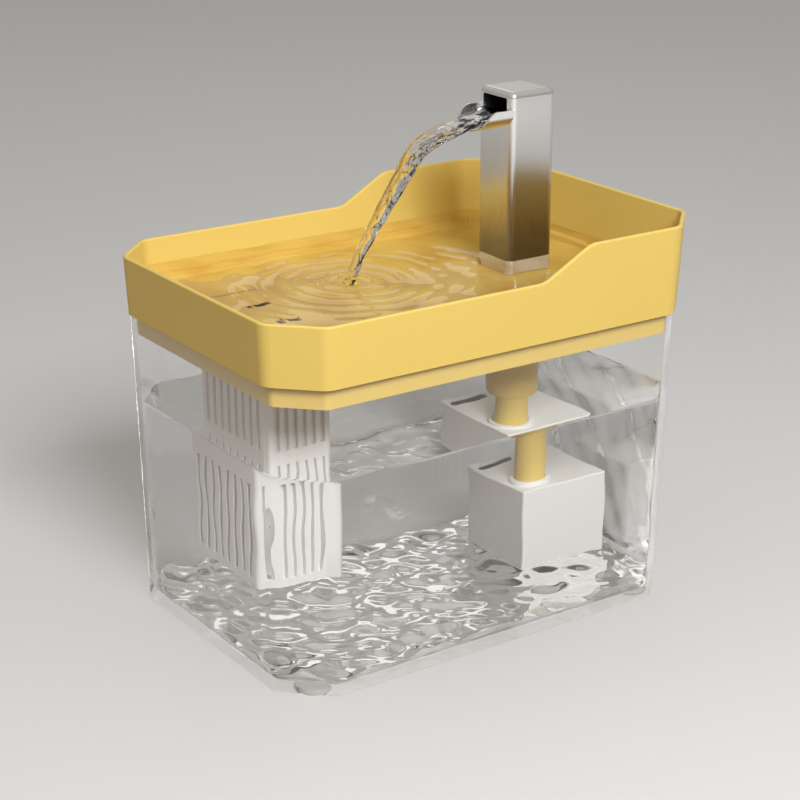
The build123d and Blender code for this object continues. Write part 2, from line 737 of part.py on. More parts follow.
with BuildPart() as shaft_bushes:
    for start in (bush_end, chamber_front - bush_length):
        with BuildSketch(Plane.YZ.offset(start)):
            with Locations((tap_y, rotor_z)):
                Circle(bush_radius)
                Circle(shaft_radius + bush_gap, mode=Mode.SUBTRACT)
        extrude(amount=bush_length)
shaft_bushes.part.label = "shaft_bushes"
export_step(shaft_bushes.part, "parts/shaft_bushes.step")

with BuildPart() as rotor_shaft:
    with BuildSketch(Plane.YZ.offset(bush_end)):
        with Locations((tap_y, rotor_z)):
            Circle(shaft_radius)
    extrude(amount=chamber_front - bush_end)
rotor_shaft.part.label = "rotor_shaft"
export_step(rotor_shaft.part, "parts/rotor_shaft.step")

with BuildPart() as magnet_rotor:
    with BuildSketch(Plane.YZ.offset(-impeller_length / 2)):
        with Locations((tap_y, rotor_z)):
            Circle(magnet_radius)
            Circle(shaft_radius + shaft_running_gap, mode=Mode.SUBTRACT)
    extrude(amount=-magnet_length)
    chamfer(magnet_rotor.edges().group_by(Axis.X)[0].sort_by(SortBy.RADIUS)[-1], magnet_chamfer)
magnet_rotor.part.label = "magnet_rotor"
export_step(magnet_rotor.part, "parts/magnet_rotor.step")

with BuildPart() as impeller:
    with BuildSketch(Plane.YZ.offset(-impeller_length / 2)):
        with Locations((tap_y, rotor_z)):
            Circle(impeller_hub_radius)
            with PolarLocations(0, impeller_blades):
                Rectangle(impeller_radius, blade_thickness, align=(Align.MIN, Align.CENTER))
            Circle(shaft_radius + shaft_running_gap, mode=Mode.SUBTRACT)
    extrude(amount=impeller_length)
    with BuildSketch(Plane.YZ.offset(-impeller_length / 2)):
        with Locations((tap_y, rotor_z)):
            Circle(magnet_radius)
            Circle(shaft_radius + shaft_running_gap, mode=Mode.SUBTRACT)
    extrude(amount=blade_thickness)
impeller.part.label = "impeller"
export_step(impeller.part, "parts/impeller.step")

# ---------------------------------------------------------------- pump cover, ring and sponge
cover_end = pump_x - pump_length / 2
with BuildPart() as pump_cover:
    with BuildSketch(Plane.XY.offset(pump_bottom)):
        with Locations((pump_x, pump_y)):
            RectangleRounded(pump_length, pump_width, cover_edge_radius)
    extrude(amount=pump_height)
    fillet(pump_cover.faces().sort_by(Axis.Z)[-1].edges(), cover_top_radius)
    with BuildSketch(Plane.XY.offset(pump_bottom)):
        with Locations((pump_x, pump_y)):
            Rectangle(cover_inner_length, cover_inner_width)
    extrude(amount=pump_height - cover_wall, mode=Mode.SUBTRACT)
    with BuildSketch(Plane.XY.offset(base_top)):
        with Locations((pump_x, pump_y)):
            with GridLocations(cover_inner_length - cover_post, cover_inner_width - cover_post, 2, 2):
                Rectangle(cover_post, cover_post)
    extrude(amount=pump_top - cover_wall - base_top)
    with BuildSketch(Plane.XY.offset(pump_top - cover_wall)):
        with Locations((0, tap_y)):
            Circle(pipe_radius + ring_pipe_gap)
        with Locations((cover_end + cord_slot_from_end, tap_y)):
            SlotOverall(cord_slot_length, cord_slot_width, rotation=90)
    extrude(amount=cover_wall, mode=Mode.SUBTRACT)
    with BuildSketch(Plane.YZ.offset(cover_end)):
        with Locations((pump_y, (base_top + pump_top) / 2 - cover_wall)):
            with GridLocations(intake_slot_pitch, 0, intake_slots, 1):
                Rectangle(intake_slot_width, intake_slot_height)
    extrude(amount=cover_wall, mode=Mode.SUBTRACT)
pump_cover.part.label = "pump_cover"
export_step(pump_cover.part, "parts/pump_cover.step")

with BuildPart() as pipe_ring:
    with BuildSketch(Plane.XY.offset(pump_top)):
        with Locations((0, tap_y)):
            Circle(ring_radius)
            Circle(pipe_radius + ring_pipe_gap, mode=Mode.SUBTRACT)
    extrude(amount=ring_height)
    fillet(pipe_ring.edges().group_by(Axis.Z)[-1].sort_by(SortBy.RADIUS)[-1], ring_round)
pipe_ring.part.label = "pipe_ring"
export_step(pipe_ring.part, "parts/pipe_ring.step")

sponge_width = cover_inner_width - 2 * cover_post - 2 * sponge_gap
with BuildPart() as intake_sponge:
    with BuildSketch(Plane.XY.offset(base_top)):
        with Locations((cover_end + cover_wall + sponge_gap + sponge_thickness / 2, pump_y)):
            Rectangle(sponge_thickness, sponge_width)
    extrude(amount=sponge_height)
intake_sponge.part.label = "intake_sponge"
export_step(intake_sponge.part, "parts/intake_sponge.step")

# ---------------------------------------------------------------- filter cage
flange_top = floor_top + cage_flange_height
with BuildPart() as filter_cage:
    with BuildSketch(Plane.XY.offset(cage_bottom)):
        with Locations((0, cage_y)):
            RectangleRounded(cage_length, cage_width, cage_corner_radius)
    extrude(amount=flange_top - cage_bottom)
    with BuildSketch(Plane.XY.offset(floor_top)):
        with Locations((0, cage_y)):
            RectangleRounded(
                cage_length + 2 * cage_flange, cage_width + 2 * cage_flange, cage_corner_radius + cage_flange
            )
    extrude(amount=cage_flange_height)
    with BuildSketch(Plane.XY.offset(cage_bottom + cage_wall)):
        with Locations((0, cage_y)):
            RectangleRounded(
                cage_length - 2 * cage_wall, cage_width - 2 * cage_wall, cage_corner_radius - cage_wall
            )
    extrude(amount=flange_top - cage_bottom, mode=Mode.SUBTRACT)
    for slot_bottom, slot_top in ((lower_slot_bottom, lower_slot_top), (upper_slot_bottom, upper_slot_top)):
        slot_middle = (slot_bottom + slot_top) / 2
        with BuildSketch(Plane.XZ.offset(-cage_y)):
            with Locations((0, slot_middle)):
                with GridLocations(long_side_pitch, 0, long_side_slots, 1):
                    Rectangle(slot_width, slot_top - slot_bottom)
        extrude(amount=cage_width, both=True, mode=Mode.SUBTRACT)
        with BuildSketch(Plane.YZ):
            with Locations((cage_y, slot_middle)):
                with GridLocations(short_side_pitch, 0, short_side_slots, 1):
                    Rectangle(slot_width, slot_top - slot_bottom)
        extrude(amount=cage_length, both=True, mode=Mode.SUBTRACT)
    with BuildSketch(Plane.XY.offset(cage_bottom)):
        with Locations((0, cage_y)):
            with GridLocations(floor_slot_pitch, 0, floor_slot_count, 1):
                Rectangle(slot_width, floor_slot_length)
    extrude(amount=cage_wall, mode=Mode.SUBTRACT)
filter_cage.part.label = "filter_cage"
export_step(filter_cage.part, "parts/filter_cage.step")

# ---------------------------------------------------------------- drain cap and filter cassette
cap_length = cage_length + 2 * (cage_flange + cap_gap)
cap_width = cage_width + 2 * (cage_flange + cap_gap)
drain_front = cage_y + drain_offset - drain_length / 2
drain_parts = (
    (drain_front, drain_front + drain_bridge_place - drain_bridge / 2),
    (drain_front + drain_bridge_place + drain_bridge / 2, drain_front + drain_length),
)
with BuildPart() as drain_cap:
    with BuildSketch(Plane.XY.offset(floor_top + cap_lift)):
        with Locations((0, cage_y)):
            RectangleRounded(
                cap_length + 2 * cap_wall, cap_width + 2 * cap_wall, cap_corner_radius + cap_wall
            )
    extrude(amount=flange_top + cap_plate - floor_top - cap_lift)
    fillet(drain_cap.faces().sort_by(Axis.Z)[-1].edges(), cap_edge_round)
    with BuildSketch(Plane.XY.offset(floor_top + cap_lift)):
        with Locations((0, cage_y)):
            RectangleRounded(cap_length, cap_width, cap_corner_radius)
    extrude(amount=cage_flange_height - cap_lift, mode=Mode.SUBTRACT)
    with BuildSketch(Plane.XY.offset(flange_top)):
        for front, back in drain_parts:
            with Locations((0, (front + back) / 2)):
                with GridLocations(drain_spacing, 0, 2, 1):
                    Rectangle(drain_width, back - front)
    extrude(amount=cap_plate, mode=Mode.SUBTRACT)
drain_cap.part.label = "drain_cap"
export_step(drain_cap.part, "parts/drain_cap.step")

cassette_length = cage_length - 2 * (cage_wall + cassette_gap)
cassette_width = cage_width - 2 * (cage_wall + cassette_gap)
cassette_bottom = cage_bottom + cage_wall + cassette_floor_gap
with BuildPart() as cassette_frame:
    with BuildSketch(Plane.XY.offset(cassette_bottom)):
        with Locations((0, cage_y)):
            Rectangle(cassette_length, cassette_width)
            with GridLocations(
                cassette_hole_pitch, cassette_hole_pitch, cassette_hole_columns, cassette_hole_rows
            ):
                Circle(cassette_hole_radius, mode=Mode.SUBTRACT)
    extrude(amount=cassette_wall)
    with BuildSketch(Plane.XY.offset(cassette_bottom)):
        with Locations((0, cage_y)):
            with GridLocations(cassette_length - cassette_wall, 0, 2, 1):
                Rectangle(cassette_wall, cassette_width)
    extrude(amount=flange_top - cassette_bottom)
cassette_frame.part.label = "cassette_frame"
export_step(cassette_frame.part, "parts/cassette_frame.step")

layer_bottom = cassette_bottom + cassette_wall
carbon_height = (
    flange_top - pad_headroom - upper_pad_height - resin_height - lower_pad_height - layer_bottom
)
for layer_name, layer_height in (
    ("lower_pad", lower_pad_height),
    ("resin_pack", resin_height),
    ("carbon_pack", carbon_height),
    ("upper_pad", upper_pad_height),
):
    with BuildPart() as layer:
        with BuildSketch(Plane.XY.offset(layer_bottom)):
            with Locations((0, cage_y)):
                Rectangle(cassette_length - 2 * (cassette_wall + pad_gap), cassette_width - 2 * pad_gap)
        extrude(amount=layer_height)
        fillet(layer.edges().filter_by(Axis.Z), pad_corner_radius)
    layer.part.label = layer_name
    export_step(layer.part, f"parts/{layer_name}.step")
    layer_bottom += layer_height
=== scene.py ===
import bpy
import numpy as np
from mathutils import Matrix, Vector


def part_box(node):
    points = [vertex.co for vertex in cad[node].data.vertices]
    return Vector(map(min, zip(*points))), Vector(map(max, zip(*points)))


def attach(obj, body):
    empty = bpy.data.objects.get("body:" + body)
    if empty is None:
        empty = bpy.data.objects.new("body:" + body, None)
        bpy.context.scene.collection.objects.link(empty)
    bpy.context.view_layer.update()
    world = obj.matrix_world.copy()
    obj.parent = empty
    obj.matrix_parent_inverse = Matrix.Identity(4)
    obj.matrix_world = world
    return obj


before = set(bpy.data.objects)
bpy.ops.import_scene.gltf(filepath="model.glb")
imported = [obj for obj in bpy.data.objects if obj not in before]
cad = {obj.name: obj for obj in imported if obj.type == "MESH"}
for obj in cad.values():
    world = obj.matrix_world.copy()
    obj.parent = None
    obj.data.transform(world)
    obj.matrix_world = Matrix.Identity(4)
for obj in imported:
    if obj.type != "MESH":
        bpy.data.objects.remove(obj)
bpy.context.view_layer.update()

# ---------------------------------------------------------------- camera
# It stands off the drinking end, on the +X side, and looks down at the fountain at twenty degrees,
# from far enough for a long lens.
camera_place = (0.7092, -0.4892, 0.4083)
camera_dip, camera_turn = 19.959, 55.586        # degrees below level, and round from +Y
sensor_width, focal_length = 36, 89.755
camera = bpy.data.objects.new("camera", bpy.data.cameras.new("camera"))
bpy.context.scene.collection.objects.link(camera)
bpy.context.scene.camera = camera
camera.location = camera_place
camera.rotation_euler = np.radians((90 - camera_dip, 0, camera_turn))
camera.data.sensor_width = sensor_width
camera.data.lens = focal_length

# ---------------------------------------------------------------- floor and light
# A plain pale floor under an even sky that is brighter overhead.  One soft lamp stands high on the
# +X side, a weak one in front, and a small one behind that the water and the steel glint with.
bpy.context.scene.view_settings.view_transform = "Standard"


def shader_tree(name):
    """A new material, its empty node tree and its output node."""
    material = bpy.data.materials.new(name)
    material.use_nodes = True
    tree = material.node_tree
    tree.nodes.clear()
    return material, tree, tree.nodes.new("ShaderNodeOutputMaterial")


def give(tree, socket, value):
    """Links an input socket to another socket, or sets it to a value.  A colour is three values and
    gets its alpha of 1 here."""
    if isinstance(value, bpy.types.NodeSocket):
        tree.links.new(value, socket)
    elif socket.type == "RGBA":
        socket.default_value = (*value, 1)
    else:
        socket.default_value = value


def node(tree, kind, **inputs):
    """A shader node of that kind, with a value or another socket given to its named inputs."""
    made = tree.nodes.new("ShaderNode" + kind)
    for name, value in inputs.items():
        give(tree, made.inputs[name.replace("_", " ")], value)
    return made


def spread(tree, value, low, high, start=0.0, end=1.0):
    """A value between start and end turned into one between low and high, by a straight line."""
    made = node(tree, "MapRange", Value=value, From_Min=start, From_Max=end, To_Min=low, To_Max=high)
    return made.outputs[0]


def blend_colours(tree, factor, first, second):
    """The first colour where the factor is 0, the second where it is 1."""
    made = node(tree, "Mix", Factor=factor)
    made.data_type = "RGBA"
    first_colour, second_colour = made.inputs[6], made.inputs[7]
    give(tree, first_colour, first)
    give(tree, second_colour, second)
    return made.outputs[2]


def surface(name, grids, close_around=True, poles=False):
    """A smooth mesh on grids of points, each rows by columns.  Columns close into a ring, and with
    poles a grid's first and last rows are each closed by a fan of triangles round their mean."""
    vertices, faces, start = [], [], 0
    for points in grids:
        rows, columns = points.shape[:2]
        index = start + np.arange(rows * columns).reshape(rows, columns)
        if close_around:
            index = np.concatenate([index, index[:, :1]], axis=1)
        quads = np.stack([index[:-1, :-1], index[:-1, 1:], index[1:, 1:], index[1:, :-1]], axis=-1)
        faces += quads.reshape(-1, 4).tolist()
        start += rows * columns
        vertices.append(points.reshape(-1, 3))
        if poles:
            first, last, hub = index[0], index[-1], np.full(len(index[0]) - 1, start)
            faces += np.stack([first[1:], first[:-1], hub], axis=1).tolist()
            faces += np.stack([last[:-1], last[1:], hub + 1], axis=1).tolist()
            vertices += [points[0].mean(axis=0)[None], points[-1].mean(axis=0)[None]]
            start += 2
    mesh = bpy.data.meshes.new(name)
    mesh.from_pydata(np.concatenate(vertices).tolist(), [], faces)
    mesh.polygons.foreach_set("use_smooth", np.ones(len(mesh.polygons), bool))
    made = bpy.data.objects.new(name, mesh)
    bpy.context.scene.collection.objects.link(made)
    return made


def area_lamp(name, place, target, size, power, colour):
    """A square soft lamp at a place, turned to face a target."""
    lamp = bpy.data.lights.new(name, "AREA")
    lamp.shape = "SQUARE"
    lamp.size = size
    lamp.energy = power
    lamp.color = colour
    made = bpy.data.objects.new(name, lamp)
    made.location = place
    aim = np.array(target) - np.array(place)
    level = np.hypot(aim[0], aim[1])
    made.rotation_euler = (np.arctan2(level, -aim[2]), 0, np.arctan2(-aim[0], aim[1]))
    bpy.context.scene.collection.objects.link(made)


floor_reach = 6.0
corners = floor_reach * np.array([[[-1, -1, 0], [1, -1, 0]], [[-1, 1, 0], [1, 1, 0]]], float)
floor = surface("floor", [corners], close_around=False)

# Light that a matt surface scattered finds the floor darker and warmer than it looks, so that so wide
# a floor doesn't light the fountain up from below.
floor_seen, floor_bounce = (0.72, 0.72, 0.72), (0.26, 0.19, 0.13)
floor_finish, tree, output = shader_tree("pale_floor")
bounces = node(tree, "LightPath").outputs["Diffuse Depth"]
floor_colour = blend_colours(tree, bounces, floor_seen, floor_bounce)
shade = node(tree, "BsdfPrincipled", Base_Color=floor_colour, Roughness=0.6)
tree.links.new(shade.outputs[0], output.inputs["Surface"])
floor.data.materials.append(floor_finish)

sky_at_horizon, sky_overhead = (0.28, 0.255, 0.225), (0.50, 0.49, 0.47)
world = bpy.data.worlds.new("studio")
bpy.context.scene.world = world
world.use_nodes = True
tree = world.node_tree
tree.nodes.clear()
way = node(tree, "SeparateXYZ", Vector=node(tree, "TexCoord").outputs["Generated"])
sky_colour = blend_colours(tree, way.outputs["Z"], sky_at_horizon, sky_overhead)
sky = node(tree, "Background", Color=sky_colour)
tree.links.new(sky.outputs[0], node(tree, "OutputWorld").inputs["Surface"])

area_lamp(
    "key", place=(1.114, -0.278, 1.0), target=(0, 0, 0.12), size=0.5, power=19.5, colour=(0.985, 0.99, 1.0)
)
area_lamp(
    "front", place=(-0.3, -1.6, 0.9), target=(0, 0, 0.1), size=1.2, power=0.2, colour=(1.0, 0.9, 0.75)
)
area_lamp(
    "back", place=(-1.14, 0.79, 0.8), target=(0, 0, 0.15), size=0.4, power=0.3, colour=(1.0, 1.0, 1.0)
)


# ---------------------------------------------------------------- clear tank
# One injection-moulded shell of clear plastic with polished faces: no colour of its own, walls painted a
# little grey as shade where they are seen edge-on, a thin painted shadow along the rim under the tray,
# and faint handling marks.  Sizes from here on are in millimetres.
MM = 0.001


def box_mm(name):
    """A CAD node's lowest and highest corner."""
    return [np.array(corner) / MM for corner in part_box(name)]


def let_lamps_through(tree, output, clear_shader, tint):
    """Ends a see-through finish: light on its way to what is inside goes straight through, tinted, and
    every other ray bends in it.  Such light is a lamp's ray and a ray that a matt surface scattered."""
    path = node(tree, "LightPath")
    passing = node(tree, "BsdfTransparent", Color=tint)
    seen = clear_shader
    for kind in ("Is Shadow Ray", "Is Diffuse Ray"):
        both = node(tree, "MixShader", Fac=path.outputs[kind])
        tree.links.new(seen.outputs[0], both.inputs[1])
        tree.links.new(passing.outputs[0], both.inputs[2])
        seen = both
    tree.links.new(seen.outputs[0], output.inputs["Surface"])


def object_noise(tree, scale, detail=2.0, stretch=(1, 1, 1), distortion=0.0):
    """Noise on the object's own coordinates, in cells of one over scale metres, drawn out by stretch."""
    place = node(tree, "TexCoord").outputs["Object"]
    mapping = node(tree, "Mapping", Vector=place, Scale=stretch)
    made = node(
        tree,
        "TexNoise",
        Vector=mapping.outputs[0],
        Scale=scale,
        Detail=detail,
        Distortion=distortion,
    )
    return made.outputs[0]


def above(tree, start, end):
    """0 below one height and 1 above another, by a straight line between them."""
    place = node(tree, "SeparateXYZ", Vector=node(tree, "TexCoord").outputs["Object"])
    return spread(tree, place.outputs["Z"], 0, 1, start * MM, end * MM)


def wear(finish, *cad_names):
    """Gives CAD nodes a finish."""
    for name in cad_names:
        materials = cad[name].data.materials
        materials.clear()
        materials.append(finish)


tank_low, tank_high = box_mm("tank")
tank_base, tank_rim = tank_low[2], tank_high[2]
rim_edge, rim_blend = 0.5, 0.1       # a painted shadow line along the rim, under the tray: how far below the rim it ends, and its soft edge
edge_start, edge_full = 0.68, 0.95   # how far from facing the eye a wall starts to take its painted edge shade, and has it fully
tank_bending = 1.03                  # less than real plastic's, so that its base traps no light
clear_tone, edge_painted_shade_tone, rim_painted_shadow_tone = (0.985, 0.99, 0.99), (0.50, 0.52, 0.53), (0.12, 0.11, 0.1)

clear_plastic, tree, output = shader_tree("clear_plastic")
# Painted shade: walls seen edge-on are painted towards a grey tone, for the dark edges a clear wall shows.
facing = node(tree, "LayerWeight", Blend=0.5).outputs["Facing"]
turned_away = spread(tree, facing, 0, 1, edge_start, edge_full)
# Painted shadow: a thin dark band just under the rim stands for the shadow under the tray's overhang.
in_rim_painted_shadow = above(tree, tank_rim - rim_edge - rim_blend, tank_rim - rim_edge)
wall_tone = blend_colours(tree, turned_away, clear_tone, edge_painted_shade_tone)
clear = node(
    tree,
    "BsdfPrincipled",
    Base_Color=blend_colours(tree, in_rim_painted_shadow, wall_tone, rim_painted_shadow_tone),
    Roughness=spread(tree, object_noise(tree, 60, 4), 0.0, 0.02),
    IOR=tank_bending,
    Transmission_Weight=1.0,
    Coat_Weight=1.0,
    Coat_Roughness=0.01,
)
let_lamps_through(tree, output, clear, tint=(0.98, 0.98, 0.975))
wear(clear_plastic, "tank")


# ---------------------------------------------------------------- yellow tray, collar, pipe and drain cap
# Satin moulded plastic in a warm yellow, with a faint mould grain.  The collar under the tray slips
# over the pump's pipe, and the cap closes the filter's opening in the tray's floor.
def moulded(name, colour, roughness, grain_depth=0.02, variation=0.04, specular=0.5):
    """Moulded plastic: its colour drifts by variation over some centimetres, and a fine grain dulls it."""
    material, tree, output = shader_tree(name)
    drift = object_noise(tree, 25, 3)
    grain = object_noise(tree, 1800, 2)
    bump = node(tree, "Bump", Height=grain, Strength=grain_depth, Distance=MM)
    darker = np.array(colour) * (1 - variation)
    shade = node(
        tree,
        "BsdfPrincipled",
        Base_Color=blend_colours(tree, drift, darker, colour),
        Roughness=spread(tree, drift, roughness * 0.9, roughness * 1.1),
        Specular_IOR_Level=specular,
        Normal=bump.outputs[0],
    )
    tree.links.new(shade.outputs[0], output.inputs["Surface"])
    return material


yellow = moulded("yellow_plastic", (0.82, 0.605, 0.16), 0.4, specular=0.2)
wear(yellow, "tray", "outlet_collar", "outlet_pipe", "drain_cap")

# ---------------------------------------------------------------- pump, filter and inner pieces
# White satin plastic shells clip round a black resin-potted motor, a grey foam sponge and a dark
# magnet, and the filter's cassette holds fleece.  Rubber seals the tap, the motor and the cord.
white = moulded("white_plastic", (0.88, 0.88, 0.87), 0.34)
wear(white, "pump_cover", "pipe_ring", "pump_base", "impeller_chamber", "impeller")
wear(white, "filter_cage", "cassette_frame")

black = moulded("black_plastic", (0.02, 0.02, 0.02), 0.3)
wear(black, "spout_liner", "tap_plug")

rubber = moulded("black_rubber", (0.03, 0.03, 0.03), 0.7, grain_depth=0.1)
wear(rubber, "stem_oring", "tap_gasket", "motor_gland", "cord_grommet", "shaft_bushes")

pale_rubber = moulded("pale_rubber", (0.55, 0.55, 0.53), 0.6, grain_depth=0.08)
wear(pale_rubber, "foot_pads", "suction_cups")

resin = moulded("potting_resin", (0.025, 0.025, 0.03), 0.2, grain_depth=0.01)
wear(resin, "pump_motor")

ferrite = moulded("ferrite", (0.06, 0.055, 0.055), 0.45, grain_depth=0.1)
wear(ferrite, "magnet_rotor")

foam = moulded("foam", (0.05, 0.05, 0.055), 0.9, grain_depth=0.8, variation=0.5)
wear(foam, "intake_sponge")

fleece = moulded("fleece", (0.82, 0.81, 0.78), 0.9, grain_depth=0.6, variation=0.12)
wear(fleece, "lower_pad", "upper_pad", "resin_pack", "carbon_pack")

tube = moulded("clear_tube", (0.6, 0.62, 0.6), 0.2)
wear(tube, "riser_tube")

# ---------------------------------------------------------------- cord seal
# The slot that lets the pump's cord out is closed by a soft rubber strip, pressed in a little below
# the cover's top, with a slit down its middle.
cover_low, cover_high = box_mm("pump_cover")
ring_low, ring_high = box_mm("pipe_ring")
seal_length, seal_width, seal_depth = 19.6, 4.6, 1.9
slot_from_side = 6.5                 # the cover's side to the slot's middle line
slot_middle_y = (ring_low[1] + ring_high[1]) / 2
seal_middle = np.array([cover_low[0] + slot_from_side, slot_middle_y, cover_high[2]])
seal_steps = 64
slit_share = 0.02                    # half the slit, as a share of the strip's half width
seal_profile = np.array(
    [   # the share of the half width and the height under the cover's top, from below
        (slit_share, -seal_depth),
        (1, -seal_depth),
        (1, -0.5),
        (0.9, -0.2),
        (0.3, -0.15),
        (slit_share, -0.5),
    ]
)
turn = (np.arange(seal_steps) + 0.5) * 2 * np.pi / seal_steps
edge_x = seal_width / 2 * np.cos(turn)
edge_y = seal_width / 2 * np.sin(turn) + (seal_length - seal_width) / 2 * np.sign(np.sin(turn))
share, depth = seal_profile[:, :1], seal_profile[:, 1:]
points = np.stack([share * edge_x, share * edge_y, depth * np.ones_like(turn)], axis=-1) + seal_middle
cord_seal = surface("cord_seal", [points * MM], poles=True)
cord_seal.data.materials.append(rubber)
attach(cord_seal, "pump_cover")


# ---------------------------------------------------------------- steel tap
# Drawn square tube in brushed stainless steel with polished rounded edges, and a lip welded on.  It
# stands in the tray's water.  Its lower part is darkened with painted shade, and its foot below the
# waterline is painted pale and less metallic, as painted light for the bright look of steel under water.
def brushed_steel(name, painted_shade_foot_colour, top_colour, painted_shade_heights, underwater_painted_light_colour, underwater_paint_top, roughness):
    """Brushed metal: noise drawn out along Z makes upright brush lines in the bump and the polish.
    The tone rises from the foot colour to the top one between two given heights: painted shade, darker
    towards the foot for the darker reflections the tube shows lower down.  Below a given height a pale,
    less metallic colour is painted, as painted light for the bright look of steel under water."""
    material, tree, output = shader_tree(name)
    lines = object_noise(tree, 60, 3, stretch=(40, 40, 0.25))
    bump = node(tree, "Bump", Height=lines, Strength=0.04, Distance=MM)
    # Painted light: below the waterline the steel is painted pale and less metallic.
    above_underwater_paint = above(tree, underwater_paint_top - 0.3, underwater_paint_top)
    # Painted shade: the tube's tone darkens from the top down to its foot.
    metal_painted_shade_tone = blend_colours(tree, above(tree, *painted_shade_heights), painted_shade_foot_colour, top_colour)
    shade = node(
        tree,
        "BsdfPrincipled",
        Base_Color=blend_colours(tree, above_underwater_paint, underwater_painted_light_colour, metal_painted_shade_tone),
        Metallic=spread(tree, above_underwater_paint, 0.35, 1.0),
        Roughness=spread(tree, lines, roughness * 0.8, roughness * 1.3),
        Normal=bump.outputs[0],
    )
    tree.links.new(shade.outputs[0], output.inputs["Surface"])
    return material


tray_water_level = 156.2
# The steel's foot is darkened with painted shade, and below the waterline it is painted pale as painted
# light.
steel = brushed_steel(
    "brushed_steel",
    painted_shade_foot_colour=(0.25, 0.245, 0.25),
    top_colour=(0.96, 0.95, 0.94),
    painted_shade_heights=(158.0, 224.0),
    underwater_painted_light_colour=(0.76, 0.77, 0.80),
    underwater_paint_top=tray_water_level + 0.1,
    roughness=0.24,
)
wear(steel, "tap_column", "spout_lip", "rotor_shaft")


# ---------------------------------------------------------------- water in the tank
# It fills the tank to about two thirds.  Its skin is never still, so the faces against the walls and
# the floor waver a little as well as the open surface.
def clear_water(name, bending, lamp_tint, ripple_size=90, ripple_depth=0.05):
    """Water that bends light by that index, with fine ripples in cells of one over ripple_size metres:
    its finish, the finish's node tree, and the socket that takes its colour, which is white so far."""
    finish, tree, output = shader_tree(name)
    ripple = object_noise(tree, ripple_size, 2)
    bump = node(tree, "Bump", Height=ripple, Strength=ripple_depth, Distance=MM)
    water = node(
        tree,
        "BsdfPrincipled",
        Base_Color=(1.0, 1.0, 1.0),
        Roughness=0.0,
        IOR=bending,
        Transmission_Weight=1.0,
        Normal=bump.outputs[0],
    )
    let_lamps_through(tree, output, water, lamp_tint)
    return finish, tree, water.inputs["Base Color"]


footprint_reach = np.array([78.25, 110.0, 119.68])  # middle to the sides, the ends and the cut corners
around = np.linspace(0, 2 * np.pi, 360, endpoint=False)


def footprint(inset, cut_drift=0.0, sharpness=120):
    """Distance from the middle to the fountain's outline, moved inwards by inset, at each angle round.
    It is the soft minimum of the distances to eight straight sides, which rounds the corners:
    the minus-nth root of the sum of (cosine to a side's normal over its reach) to the nth power."""
    reach = footprint_reach - inset
    cut = reach[2] - cut_drift
    total = 0
    for normal, distance in [(0, reach[0]), (90, reach[1]), (45, cut), (135, cut)]:
        total = total + (np.abs(np.cos(around - np.radians(normal))) / distance) ** sharpness
    return total ** (-1 / sharpness)


def swell(points, length, seed):
    """Waves of about that length all ways, from -1 to 1: a little over twice the mean of eight sines,
    each with its own direction, length and start."""
    rng = np.random.default_rng(seed)
    ways = rng.normal(size=(8, 3))
    ways *= (2 * np.pi / length / rng.uniform(0.7, 1.5, (8, 1))) / np.linalg.norm(ways, axis=1)[:, None]
    phases = rng.uniform(0, 2 * np.pi, 8)
    return np.clip(np.sin(points @ ways.T + phases).mean(axis=-1) * 2.2, -1, 1)


def waves(points, *trains):
    """The sum of several swells, each given by its height, its length and its seed."""
    return sum(height * swell(points, length, seed) for height, length, seed in trains)


def ring(reach, height):
    """One ring of a closed skin: its reach at each angle, and its height."""
    return reach[None], np.full((1, len(reach)), height)


def disc(reach, height, rings, inwards=False):
    """Rings of a flat disc from near its middle to its edge, or back: each a share of the reach."""
    share = np.linspace(0.5 / rings, 1, rings)[:, None]
    if inwards:
        share = share[::-1]
    return share * reach[None, :], np.full((rings, len(reach)), height)


def skin(rings):
    """Points of a closed skin from its rings, bottom first: reach times the cosine and the sine of
    each angle round, and height."""
    reach = np.concatenate([part[0] for part in rings])
    height = np.concatenate([part[1] for part in rings])
    return np.stack([reach * np.cos(around), reach * np.sin(around), height], axis=-1)


tank_water_bottom = 5.55
tank_water_level = 100.0
tank_water_bending = 1.15    # less than real water's, so that what stands in it shows in its place
tank_wall_inset = 3.3        # footprint to the tank's inner face at its rim
tank_wall_taper = 1.8        # and this much more at its base
tank_cut_drift = 1.98        # the cut corners also come in by this at the base
floor_corner = 3.2           # radius where the walls meet the floor
skin_gap = 0.1
top_share = 0.998            # the open surface ends a hair inside the walls
floor_rings, corner_rings, wall_rings, top_rings = 90, 6, 59, 90


def tank_wall_reach(height):
    """The tank's inner face at a height, less a hair's gap."""
    down = (tank_rim - height) / (tank_rim - tank_base)
    return footprint(tank_wall_inset + skin_gap + tank_wall_taper * down, tank_cut_drift * down)


floor_reach_inside = tank_wall_reach(tank_water_bottom) - floor_corner
corner_turns = np.linspace(0, np.pi / 2, corner_rings + 1)[1:]
wall_heights = np.linspace(tank_water_bottom + floor_corner, tank_water_level, wall_rings + 1)[1:]
corner_reaches = [floor_reach_inside + floor_corner * np.sin(turn) for turn in corner_turns]
corner_heights = tank_water_bottom + floor_corner * (1 - np.cos(corner_turns))
tank_rings = [disc(floor_reach_inside, tank_water_bottom, floor_rings)]
tank_rings += [ring(reach, height) for reach, height in zip(corner_reaches, corner_heights)]
tank_rings += [ring(tank_wall_reach(height), height) for height in wall_heights]
top_reach = tank_wall_reach(tank_water_level) * top_share
tank_rings += [disc(top_reach, tank_water_level, top_rings, inwards=True)]
points = skin(tank_rings)

